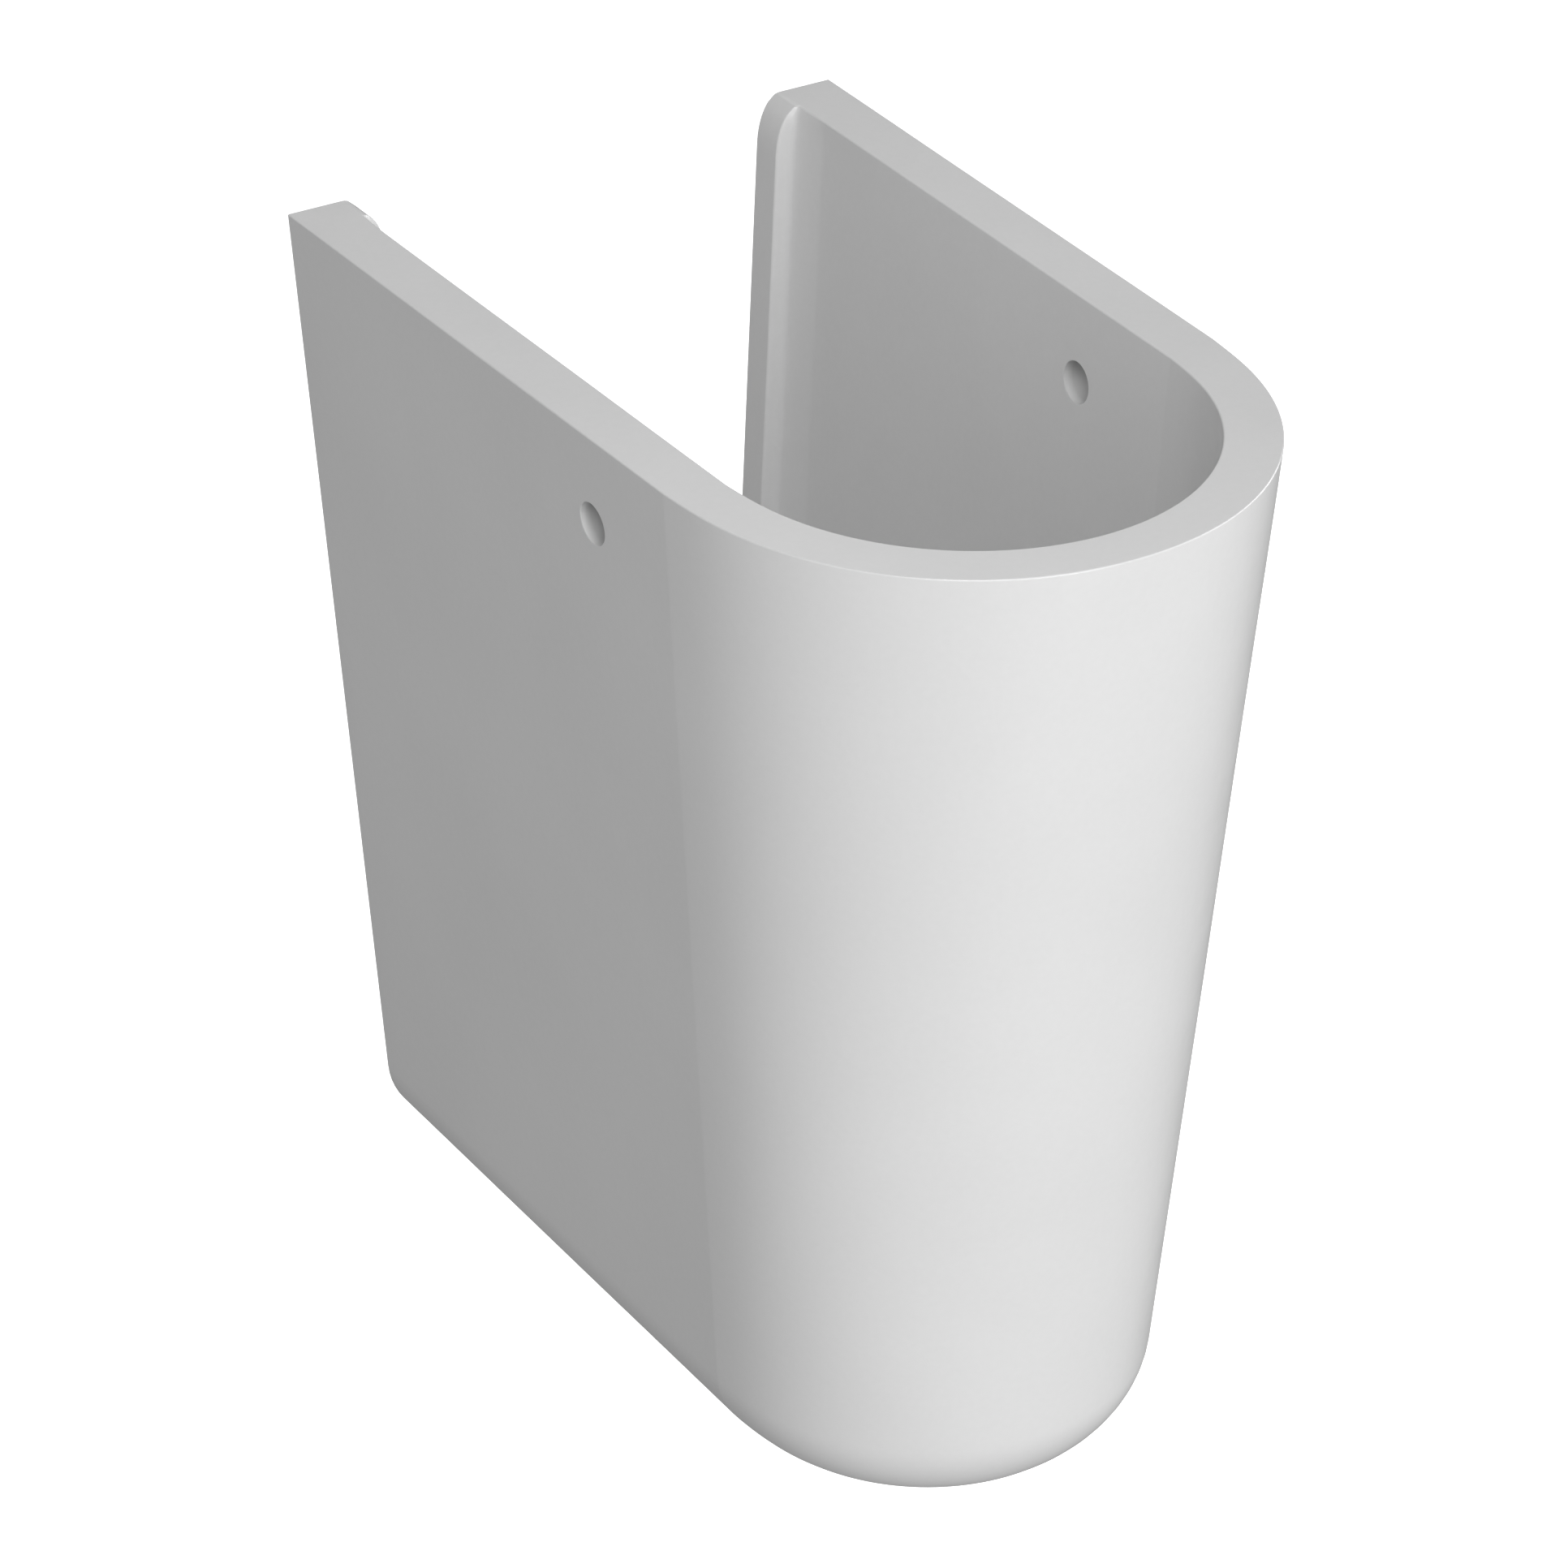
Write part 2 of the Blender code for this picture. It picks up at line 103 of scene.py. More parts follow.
# Which of the shroud's faces are bare: those that face the wall or the floor, and lie this close to it.
SQUARE_ON = 0.95  # the least cosine of the angle between such a face's normal and straight back or down
WALL_FACE_DEPTH = 0.1 * MM
FOOT_FACE_DEPTH = 0.15 * MM

# The lugs that hook over the studs.
STUD_LOW, STUD_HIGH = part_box("right_stud")
STUD_SPREAD = 0.5 * (STUD_LOW.x + STUD_HIGH.x)
STUD_HEIGHT = 0.5 * (STUD_LOW.z + STUD_HIGH.z)
LUG_INNER_END = 29.0 * MM
LUG_BOTTOM = 70.0 * MM
LUG_TOP = 106.0 * MM
LUG_BACK = 1.0 * MM
LUG_FRONT = 16.0 * MM
LUG_CORNER = 3.5 * MM
LUG_FLARE = 4.0 * MM  # the fillet where the lug leaves the rib
LUG_ROOT_FLARE = 7.0 * MM  # how far the lug spreads by the time it reaches the wall of the casting
LUG_END_ROUND = 5.0 * MM
LUG_ROOT = 4.0 * MM  # how deep the lug is sunk into the wall before the two are joined
LUG_LEAN = 0.3  # how much of the wall's lean the lug keeps between its fillet and its nose
LEAST_RADIUS = 0.3 * MM  # of a lug's corners, and of the tip of a stud's screw
SLOT_RADIUS = 7.6 * MM
SLOT_DROP = 0.3 * MM  # the slot's round top is centred this far below the stud
SLOT_MOUTH = 1.5 * MM  # radius of the rounding along the slot's edges
SLOT_OVERSHOOT = 8.0 * MM  # how far the cutter reaches past the back and the front of the lug

# The spacing of the shroud's mesh.
FRONT_STEPS = 120
CROWDING = 0.6  # how much closer together than average the columns stand at the front's ends
ROW_SPACING = 6.0 * MM
COLUMN_SPACING = 7.0 * MM
RIB_SPACING = 4.0 * MM
LUG_SPACING = 4.0 * MM
END_STATIONS = 5  # columns between the hole's patch and the rounded front
CREASE_STRIP = 0.6 * MM  # width of the strip after them, which keeps the crease narrow
TAIL_STEPS = 8
ROLL_STEPS = 14
EDGE_STEPS = 4
ROUND_STEPS = 8

# The glaze is a fraction of a millimetre uneven, in long low waves.
WAVE_HEIGHT = 0.10 * MM
WAVE_LENGTH = 75.0 * MM


def quarter_turn(steps, first=0):
    """Angles from 0 to 90 degrees, both ends counted, from step `first` on."""
    return [0.5 * math.pi * i / steps for i in range(first, steps + 1)]


def evenly(start, end, spacing):
    """Values from start to end, both left out, no further apart than spacing."""
    count = max(1, math.ceil(abs(end - start) / spacing))
    return [start + (end - start) * i / count for i in range(1, count)]


def mesh_from(name, bm):
    bmesh.ops.recalc_face_normals(bm, faces=bm.faces)
    mesh = bpy.data.meshes.new(name)
    bm.to_mesh(mesh)
    bm.free()
    return mesh


def link(name, mesh):
    obj = bpy.data.objects.new(name, mesh)
    bpy.context.scene.collection.objects.link(obj)
    return obj


def bridge(bm, first, second):
    """Quads between two closed loops with the same number of vertices."""
    for i in range(len(first)):
        j = (i + 1) % len(first)
        bm.faces.new((first[i], first[j], second[j], second[i]))


# ---------------------------------------------------------------- the shroud


def thickness(z):
    """The casting's thickness at height z."""
    return WALL - WALL_LOSS * (HEIGHT - z) / HEIGHT


def rib_height(z, fillet=0.0):
    """How far the rear rib stands off the inner face at height z.

    It is rounded off under the rim, and blends into what the foot's fillet already adds to the wall.
    """
    from_rim = HEIGHT - z
    if from_rim < RIB_TOP_ROUND:
        return RIB_HEIGHT * math.sqrt(max(0.0, 1.0 - (1.0 - from_rim / RIB_TOP_ROUND) ** 2))
    return (RIB_HEIGHT**3 + fillet**3) ** (1.0 / 3.0) - fillet


def side_stations():
    """(distance from the wall, share of the rib's height) as far as the hole's patch."""
    stations = [(REAR_EDGE, 1.0)]
    stations += [(d, 1.0) for d in evenly(REAR_EDGE, RIB_DEPTH - RIB_CORNER, RIB_SPACING)]
    for angle in quarter_turn(EDGE_STEPS):
        drop = RIB_CORNER * (1.0 - math.cos(angle))
        stations.append((RIB_DEPTH - RIB_CORNER * (1.0 - math.sin(angle)), 1.0 - drop / RIB_HEIGHT))
    tail_angle = math.atan(RIB_TAIL_POWER * RIB_TAIL_HEIGHT / RIB_TAIL_LENGTH)
    turn = 0.5 * math.pi - tail_angle
    for i in range(ROUND_STEPS + 1):
        angle = turn * i / ROUND_STEPS
        off_wall = RIB_TAIL_HEIGHT + RIB_FILLET * (math.sin(turn) - math.sin(angle))
        distance = RIB_DEPTH + RIB_DRAFT + RIB_FILLET * (1.0 - math.cos(angle))
        stations.append((distance, off_wall / RIB_HEIGHT))
    tail_start = stations[-1][0]
    for i in range(1, TAIL_STEPS + 1):
        along = i / TAIL_STEPS
        off_wall = RIB_TAIL_HEIGHT * (1.0 - along) ** RIB_TAIL_POWER
        stations.append((tail_start + RIB_TAIL_LENGTH * along, off_wall / RIB_HEIGHT))
    patch_start = HOLE_FROM_WALL - PATCH
    stations += [(d, 0.0) for d in evenly(stations[-1][0], patch_start, COLUMN_SPACING)]
    for i in range(PATCH_STEPS + 1):
        stations.append((patch_start + 2.0 * PATCH * i / PATCH_STEPS, 0.0))
    return stations


SIDE_STATIONS = side_stations()
PATCH_COLUMN = len(SIDE_STATIONS) - 1 - PATCH_STEPS  # the first column of the hole's patch


def front_angles():
    """Angles round the front from the left to the right, closest together at its two ends."""
    angles = []
    for i in range(FRONT_STEPS + 1):
        turn = 2.0 * math.pi * i / FRONT_STEPS
        angles.append(0.5 * (turn - CROWDING * math.sin(turn)))
    return angles


FRONT_ANGLES = front_angles()


def section(z, inset):
    """(half width at the wall, length of the flat side, depth of the front) at a height and an inset."""
    down = (HEIGHT - z) / HEIGHT
    share = inset / WALL
    width = HALF_WIDTH - HALF_WIDTH_LOSS * down - inset
    length = SIDE_LENGTH - SIDE_LENGTH_LOSS * down + SIDE_GAIN * share
    depth = FRONT_DEPTH - FRONT_DEPTH_LOSS * down - FRONT_LOSS * share
    return width, length, depth


def side_x(z, inset, distance):
    """Half width of a flat side at a distance from the wall."""
    width, length, _ = section(z, inset)
    return width * (1.0 - (1.0 - TOE_IN) * distance / length)


def crease_dip(travelled):
    """How far the front lies inside its ellipse, a distance round it from the end of a flat side."""
    return math.tan(CREASE_ANGLE) * travelled * math.exp(-travelled / CREASE_REACH)


def plan_row(z, inset, rib):
    """The plan outline at height z, from the left rear round to the right rear."""
    width, length, depth = section(z, inset)
    side = []
    for distance, share in SIDE_STATIONS:
        side.append((side_x(z, inset, distance) - rib * share, -distance))
    patch_end = SIDE_STATIONS[-1][0]
    strip_start = length - CREASE_STRIP
    for i in range(1, END_STATIONS + 1):
        distance = patch_end + (strip_start - patch_end) * i / END_STATIONS
        side.append((side_x(z, inset, distance), -distance))
    left = [Vector((-x, y, z)) for x, y in side]
    right = [Vector((x, y, z)) for x, y in reversed(side)]
    front = []
    half_width = width * TOE_IN
    power = 1.0 - FRONT_FULLNESS * max(0.0, 1.0 - inset / WALL)
    for angle in FRONT_ANGLES:
        across = math.copysign(abs(math.cos(angle)) ** power, math.cos(angle))
        ahead = max(0.0, math.sin(angle)) ** power
        point = Vector((-half_width * across, -length - depth * ahead, z))
        outward = Vector((-depth * math.cos(angle), -half_width * math.sin(angle), 0.0)).normalized()
        front.append(point - outward * crease_dip(depth * min(angle, math.pi - angle)))
    return left + front + right


def straight_heights(top, bottom):
    """Heights down a wall, with even rows across the hole's patch."""
    patch_top = HEIGHT - HOLE_BELOW_RIM + PATCH
    patch_bottom = patch_top - 2.0 * PATCH
    heights = evenly(top, patch_top, ROW_SPACING)
    heights += [patch_top - 2.0 * PATCH * i / PATCH_STEPS for i in range(PATCH_STEPS + 1)]
    return heights + evenly(patch_bottom, bottom, ROW_SPACING)


def wall_profile():
    """(height, inset, rib height) round the wall's cross-section.

    It runs down the outside, under the foot and up the inside.
    """
    profile = []
    for angle in quarter_turn(EDGE_STEPS):
        inset = RIM_EDGE * (1.0 - math.sin(angle))
        profile.append((HEIGHT - RIM_EDGE * (1.0 - math.cos(angle)), inset, 0.0))
    profile += [(z, 0.0, 0.0) for z in straight_heights(HEIGHT - RIM_EDGE, FOOT_ROLL)]
    for angle in quarter_turn(ROLL_STEPS):
        profile.append((FOOT_ROLL * (1.0 - math.sin(angle)), FOOT_ROLL * (1.0 - math.cos(angle)), 0.0))
    for angle in quarter_turn(ROUND_STEPS):
        inset = FOOT_WIDTH - FOOT_LIP * (1.0 - math.sin(angle))
        profile.append((FOOT_LIP * (1.0 - math.cos(angle)), inset, 0.0))
    for angle in quarter_turn(ROUND_STEPS):
        inset = FOOT_WIDTH - FOOT_LIP * (1.0 - math.cos(angle))
        profile.append((FOOT_THICKNESS - FOOT_LIP * (1.0 - math.sin(angle)), inset, 0.0))
    for angle in quarter_turn(ROUND_STEPS):
        z = FOOT_THICKNESS + FOOT_FILLET * (1.0 - math.cos(angle))
        fillet = FOOT_FILLET * (1.0 - math.sin(angle))
        profile.append((z, thickness(z) + fillet, rib_height(z, fillet)))
    bottom = FOOT_THICKNESS + FOOT_FILLET
    heights = list(reversed(straight_heights(HEIGHT - RIB_TOP_ROUND, bottom)))
    for angle in reversed(quarter_turn(ROUND_STEPS, first=3)):
        heights.append(HEIGHT - RIB_TOP_ROUND * (1.0 - math.cos(angle)))
    profile += [(z, thickness(z), rib_height(z)) for z in heights]
    for angle in reversed(quarter_turn(EDGE_STEPS)):
        z = HEIGHT - RIM_EDGE * (1.0 - math.cos(angle))
        inset = thickness(z) - RIM_EDGE * (1.0 - math.sin(angle))
        profile.append((z, inset, rib_height(z)))
    return profile


def inward_normals(points):
    """For a closed outline in the XZ plane, a unit vector at each point that points into the outline."""
    count = len(points)
    area = 0.0
    for i in range(count):
        a, b = points[i], points[(i + 1) % count]
        area += a.x * b.z - b.x * a.z
    turn = 1.0 if area > 0.0 else -1.0
    normals = []
    for i in range(count):
        along = points[(i + 1) % count] - points[i - 1]
        normals.append(Vector((-along.z, 0.0, along.x)).normalized() * turn)
    return normals


def close_rear(bm, loop):
    """Rounds a rear end's edge into the flat face that meets the wall, and closes it."""
    points = [vertex.co.copy() for vertex in loop]
    normals = inward_normals(points)
    previous = loop
    for angle in quarter_turn(EDGE_STEPS, first=1):
        inset = REAR_EDGE * (1.0 - math.cos(angle))
        y = -REAR_EDGE * (1.0 - math.sin(angle))
        ring = []
        for point, normal in zip(points, normals):
            moved = point + normal * inset
            ring.append(bm.verts.new((moved.x, y, moved.z)))
        bridge(bm, previous, ring)
        previous = ring
    face = bm.faces.new(previous)
    bmesh.ops.triangulate(bm, faces=[face], ngon_method="EAR_CLIP")


def hole_frame(side):
    """(centre of the outer mouth, outward normal, forward, up) of a side's hole."""
    z = HEIGHT - HOLE_BELOW_RIM

    def point(distance, height):
        return Vector((side * side_x(height, 0.0, distance), -distance, height))

    centre = point(HOLE_FROM_WALL, z)
    forward = (point(HOLE_FROM_WALL + MM, z) - centre).normalized()
    up = (point(HOLE_FROM_WALL, z + MM) - centre).normalized()
    outward = forward.cross(up).normalized()
    if outward.x * side < 0.0:
        outward.negate()
    return centre, outward, forward, up


def onto_face(point, side, outward, inner):
    """Moves a point along the hole's axis until it lies on the outer or the inner face of the side."""
    for _ in range(4):
        inset = thickness(point.z) if inner else 0.0
        gap = side_x(point.z, inset, -point.y) - side * point.x
        point = point + outward * gap / (side * outward.x)
    return point


def patch_loop(grid, rows, columns):
    """The vertices round a patch's edge, starting at its first row and first column."""
    loop = [grid[rows[0]][c] for c in columns[:-1]]
    loop += [grid[r][columns[-1]] for r in rows[:-1]]
    loop += [grid[rows[-1]][c] for c in reversed(columns[1:])]
    loop += [grid[r][columns[0]] for r in reversed(rows[1:])]
    return loop


def cut_hole(bm, grid, side, outer_rows, inner_rows, columns):
    """Replaces the square patches on both faces by rings of quads that lead through a round hole."""
    centre, outward, forward, up = hole_frame(side)
    loops = []
    for rows in (outer_rows, inner_rows):
        spare = [grid[r][c] for r in rows[1:-1] for c in columns[1:-1]]
        bmesh.ops.delete(bm, geom=spare, context="VERTS")
        loops.append(patch_loop(grid, rows, columns))
    # Each loop is turned to start at its corner above and in front of the hole, and to run the same way.
    for loop in loops:
        angles = []
        for vertex in loop:
            offset = vertex.co - centre
            angles.append(math.atan2(offset.dot(up), offset.dot(forward)))
        first = min(range(len(loop)), key=lambda i: abs(angles[i] - 0.25 * math.pi))
        loop[:] = loop[first:] + loop[:first]
        offset = loop[1].co - centre
        if math.atan2(offset.dot(up), offset.dot(forward)) < angles[first]:
            loop[:] = loop[:1] + loop[:0:-1]
    count = len(loops[0])

    def ring(radius, depth, inner):
        """A circle round the hole's axis, sunk by a depth from the outer or the inner face."""
        made = []
        for i in range(count):
            angle = 0.25 * math.pi + 2.0 * math.pi * i / count
            start = centre + (forward * math.cos(angle) + up * math.sin(angle)) * radius
            on_face = onto_face(start, side, outward, inner)
            made.append(bm.verts.new(on_face + outward * (depth if inner else -depth)))
        return made

    mouth = []
    for angle in quarter_turn(EDGE_STEPS):
        radius = HOLE_RADIUS + HOLE_MOUTH * (1.0 - math.sin(angle))
        mouth.append((radius, HOLE_MOUTH * (1.0 - math.cos(angle))))
    flat_ring = (HOLE_RADIUS + 3.0 * HOLE_MOUTH, 0.0)
    rings = [loops[0]]
    rings += [ring(radius, depth, False) for radius, depth in [flat_ring] + mouth]
    inner_rings = [ring(radius, depth, True) for radius, depth in reversed([flat_ring] + mouth)]
    ends = list(zip(rings[-1], inner_rings[0]))
    for i in range(1, BORE_STEPS):
        rings.append([bm.verts.new(a.co.lerp(b.co, i / BORE_STEPS)) for a, b in ends])
    rings += inner_rings + [loops[1]]
    for first, second in zip(rings, rings[1:]):
        bridge(bm, first, second)


def rows_across_patch(profile, inner):
    """Indices of the profile's rows that cross the hole's patch, on one face of the wall."""
    centre = HEIGHT - HOLE_BELOW_RIM
    reach = PATCH + 0.1 * MM
    rows = []
    for i, (z, inset, _) in enumerate(profile):
        on_face = abs(inset - (thickness(z) if inner else 0.0)) < 0.01 * MM
        if on_face and abs(z - centre) < reach:
            rows.append(i)
    return rows


def wave(point):
    """How far the glaze's surface stands off its true shape at a point."""
    return WAVE_HEIGHT * noise.noise(point / WAVE_LENGTH)


def shell_mesh():
    bm = bmesh.new()
    profile = wall_profile()
    grid = []
    for z, inset, rib in profile:
        grid.append([bm.verts.new(point) for point in plan_row(z, inset, rib)])
    for row, following in zip(grid, grid[1:] + grid[:1]):
        for i in range(len(row) - 1):
            bm.faces.new((row[i], row[i + 1], following[i + 1], following[i]))
    close_rear(bm, [row[0] for row in grid])
    close_rear(bm, [row[-1] for row in grid])
    outer_rows = rows_across_patch(profile, inner=False)
    inner_rows = rows_across_patch(profile, inner=True)
    last = len(grid[0]) - 1
    left_columns = list(range(PATCH_COLUMN, PATCH_COLUMN + PATCH_STEPS + 1))
    right_columns = [last - c for c in left_columns]
    cut_hole(bm, grid, -1.0, outer_rows, inner_rows, left_columns)
    cut_hole(bm, grid, 1.0, outer_rows, inner_rows, right_columns)
    bmesh.ops.recalc_face_normals(bm, faces=bm.faces)
    bm.normal_update()
    for vertex in bm.verts:
        if vertex.co.y < -REAR_EDGE:
            vertex.co += vertex.normal * wave(vertex.co)
    return mesh_from("glazed_shroud", bm)


def rounded_rectangle(back, front, bottom, top, back_radius, front_radius):
    """A closed (y, z) outline, its corners rounded. back and front are distances from the wall."""
    corners = [
        (-back - back_radius, top - back_radius, back_radius, 0.0),
        (-front + front_radius, top - front_radius, front_radius, 0.5 * math.pi),
        (-front + front_radius, bottom + front_radius, front_radius, math.pi),
        (-back - back_radius, bottom + back_radius, back_radius, 1.5 * math.pi),
    ]
    outline = []
    for y, z, radius, start in corners:
        for turn in quarter_turn(ROUND_STEPS):
            outline.append((y + radius * math.cos(start + turn), z + radius * math.sin(start + turn)))
    return outline


def lug(side):
    """A web that grows out of the inner wall through a fillet and ends in a rounded nose."""
    slope = (HALF_WIDTH_LOSS - WALL_LOSS) / HEIGHT
    wall_face = side_x(STUD_HEIGHT, thickness(STUD_HEIGHT), LUG_FRONT)
    rib_face = wall_face - RIB_HEIGHT
    stations = [(wall_face + LUG_ROOT, LUG_ROOT_FLARE, 1.0), (wall_face, LUG_ROOT_FLARE, 1.0)]
    for angle in quarter_turn(ROUND_STEPS):
        rise = LUG_FLARE * (1.0 - math.cos(angle))
        stations.append((rib_face - rise, LUG_FLARE * (1.0 - math.sin(angle)), 1.0))
    nose = LUG_INNER_END + LUG_END_ROUND
    stations += [(x, 0.0, LUG_LEAN) for x in evenly(rib_face - LUG_FLARE, nose, LUG_SPACING)]
    for angle in quarter_turn(ROUND_STEPS):
        shrink = LUG_END_ROUND * (1.0 - math.cos(angle))
        stations.append((nose - LUG_END_ROUND * math.sin(angle), -shrink, 0.0))
    bm = bmesh.new()
    loops = []
    for x, flare, lean in stations:
        back = LUG_BACK - min(flare, 0.0)
        front_radius = max(LUG_CORNER + flare, LEAST_RADIUS)
        back_radius = max(LUG_CORNER + min(flare, 0.0), LEAST_RADIUS)
        outline = rounded_rectangle(
            back, LUG_FRONT + flare, LUG_BOTTOM - flare, LUG_TOP + flare, back_radius, front_radius
        )
        loop = []
        for y, z in outline:
            leaning = x + lean * slope * (z - STUD_HEIGHT)
            loop.append(bm.verts.new((side * leaning, y, z)))
        loops.append(loop)
    for first, second in zip(loops, loops[1:]):
        bridge(bm, first, second)
    bm.faces.new(loops[0])
    bm.faces.new(loops[-1])
    return link("lug", mesh_from("lug", bm))


def slot_cutter(side):
    """The lug's slot, open below, its edges rounded on the back and on the front of the lug."""
    rounding = []
    for angle in quarter_turn(EDGE_STEPS):
        rounding.append((SLOT_MOUTH * (1.0 - math.cos(angle)), SLOT_MOUTH * (1.0 - math.sin(angle))))
    stations = [(LUG_BACK - SLOT_OVERSHOOT, SLOT_MOUTH)]
    stations += [(LUG_BACK + depth, spread) for depth, spread in rounding]
    stations += [(LUG_FRONT - depth, spread) for depth, spread in reversed(rounding)]
    stations.append((LUG_FRONT + SLOT_OVERSHOOT, SLOT_MOUTH))
    centre = STUD_HEIGHT - SLOT_DROP
    bm = bmesh.new()
    loops = []
    for distance, spread in stations:
        outline = [(-SLOT_RADIUS - spread - SLOT_MOUTH, LUG_BOTTOM - LUG_FLARE)]
        for angle in quarter_turn(EDGE_STEPS):
            x = -SLOT_RADIUS - spread - SLOT_MOUTH * (1.0 - math.sin(angle))
            outline.append((x, LUG_BOTTOM + SLOT_MOUTH * (1.0 - math.cos(angle))))
        for i in range(2 * ROUND_STEPS + 1):
            angle = math.pi * (1.0 - 0.5 * i / ROUND_STEPS)
            radius = SLOT_RADIUS + spread
            outline.append((radius * math.cos(angle), centre + radius * math.sin(angle)))
        mirrored = [(-x, z) for x, z in reversed(outline[: EDGE_STEPS + 2])]
        loop = [bm.verts.new((side * STUD_SPREAD + x, -distance, z)) for x, z in outline + mirrored]
        loops.append(loop)
    for first, second in zip(loops, loops[1:]):
        bridge(bm, first, second)
    bm.faces.new(loops[0])
    bm.faces.new(loops[-1])
    return link("slot_cutter", mesh_from("slot_cutter", bm))


def apply_modifiers(obj):
    """Replaces the object's mesh by what its modifiers make of it."""
    graph = bpy.context.evaluated_depsgraph_get()
    made = bpy.data.meshes.new_from_object(obj.evaluated_get(graph))
    obj.modifiers.clear()
    old = obj.data
    obj.data = made
    bpy.data.meshes.remove(old)


def boolean(obj, other, operation):
    modifier = obj.modifiers.new(other.name, "BOOLEAN")
    modifier.operation = operation
    modifier.solver = "EXACT"
    modifier.object = other
    apply_modifiers(obj)
    bpy.data.objects.remove(other)


def shade(obj, angle):
    """Smooth shading up to an angle in degrees, with flat faces kept flat beside their rounded edges."""
    obj.data.shade_smooth()
    obj.data.set_sharp_from_angle(angle=math.radians(angle))
    modifier = obj.modifiers.new("flat_faces_stay_flat", "WEIGHTED_NORMAL")
    modifier.keep_sharp = True
    modifier.weight = 60


def make_shroud():
    shroud = link("glazed_shroud", shell_mesh())
    for side in (-1.0, 1.0):
        boolean(shroud, lug(side), "UNION")
        boolean(shroud, slot_cutter(side), "DIFFERENCE")
    shade(shroud, angle=50.0)
    return shroud


# ---------------------------------------------------------------- the fixings

# The threads and small edges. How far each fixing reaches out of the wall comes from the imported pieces.
THREAD_PITCH = 1.25 * MM
THREAD_RADIUS = 4.0 * MM
THREAD_DEPTH = 0.65 * MM
THREAD_CLEARANCE = 0.08 * MM
THREAD_STEPS = 40
ROWS_PER_TURN = 8
SCREW_PITCH = 3.0 * MM
SCREW_DEPTH = 0.9 * MM
SCREW_TIP = 7.0 * MM
SCREW_RADIUS = 3.2 * MM
SCREW_CREST = 2.2  # how much sharper than a machine thread the wood screw's crest is
STUD_CHAMFER = 1.0 * MM
SMOOTH_STEPS = 64
SMALL_EDGE = 0.5 * MM


def along_stud(node):
    """(radius, nearest, furthest) of a fixing: its radius and its reach out of the wall."""
    node_low, node_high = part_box(node)
    return 0.5 * (node_high.z - node_low.z), -node_high.y, -node_low.y


def turned(name, side, profile, steps, closed_ring, radius_at=None):
    """A body of revolution about a stud. The profile lists (radius, distance out of the wall)."""
    bm = bmesh.new()
    axis = Vector((side * STUD_SPREAD, 0.0, STUD_HEIGHT))
    rings = []
    for radius, distance in profile:
        if radius == 0.0:
            rings.append([bm.verts.new(axis + Vector((0.0, -distance, 0.0)))])
            continue
        ring = []
        for i in range(steps):
            angle = 2.0 * math.pi * i / steps
            r = radius_at(radius, distance, angle) if radius_at else radius
            offset = Vector((r * math.cos(angle), -distance, r * math.sin(angle)))
            ring.append(bm.verts.new(axis + offset))
        rings.append(ring)
    pairs = list(zip(rings, rings[1:]))
    if closed_ring:
        pairs.append((rings[-1], rings[0]))
    for first, second in pairs:
        if len(first) > 1 and len(second) > 1:
            bridge(bm, first, second)
            continue
        point, ring = (first[0], second) if len(first) == 1 else (second[0], first)
        for i in range(steps):
            bm.faces.new((point, ring[i], ring[(i + 1) % steps]))
    return link(name, mesh_from(name, bm))


def arc(radius, distance, size, start):
    """Profile points of a quarter circle of the given size, centred at (radius, distance)."""
    points = []
    for turn in quarter_turn(EDGE_STEPS):
        angle = start + turn
        points.append((radius + size * math.cos(angle), distance + size * math.sin(angle)))
    return points


def zigzag(distance, angle, pitch):
    """0 on a right-hand thread's crest, 1 at its root."""
    phase = (distance / pitch - angle / (2.0 * math.pi)) % 1.0
    return 1.0 - abs(2.0 * phase - 1.0)


def stud_radius(radius, distance, angle):
    """The stud's surface: machine thread outside the wall, a coarse wood screw inside it."""
    if distance > 0.0:
        return min(radius, THREAD_RADIUS - THREAD_DEPTH * zigzag(distance, angle, THREAD_PITCH))
    root = max(0.2 * MM, radius - SCREW_DEPTH)
    crest = max(0.0, 1.0 - SCREW_CREST * zigzag(distance, angle, SCREW_PITCH))
    return root + (radius - root) * crest


def make_stud(label, side):
    node = f"{label}_stud"
    _, nearest, furthest = along_stud(node)
    screw_end = -0.2 * MM
    thread_start = 0.6 * MM
    profile = [(0.0, nearest)]
    for distance in evenly(nearest, screw_end, SCREW_PITCH / ROWS_PER_TURN):
        taper = min(1.0, (distance - nearest) / SCREW_TIP)
        profile.append((max(LEAST_RADIUS, SCREW_RADIUS * taper), distance))
    profile += [(SCREW_RADIUS, screw_end), (THREAD_RADIUS, thread_start)]
    for distance in evenly(thread_start, furthest, THREAD_PITCH / ROWS_PER_TURN):
        chamfered = THREAD_RADIUS - STUD_CHAMFER + (furthest - distance)
        profile.append((min(THREAD_RADIUS, chamfered), distance))
    profile += [(THREAD_RADIUS - STUD_CHAMFER, furthest), (0.0, furthest)]
    stud = turned(f"{node}_threaded", side, profile, THREAD_STEPS, False, stud_radius)
    return stud, node


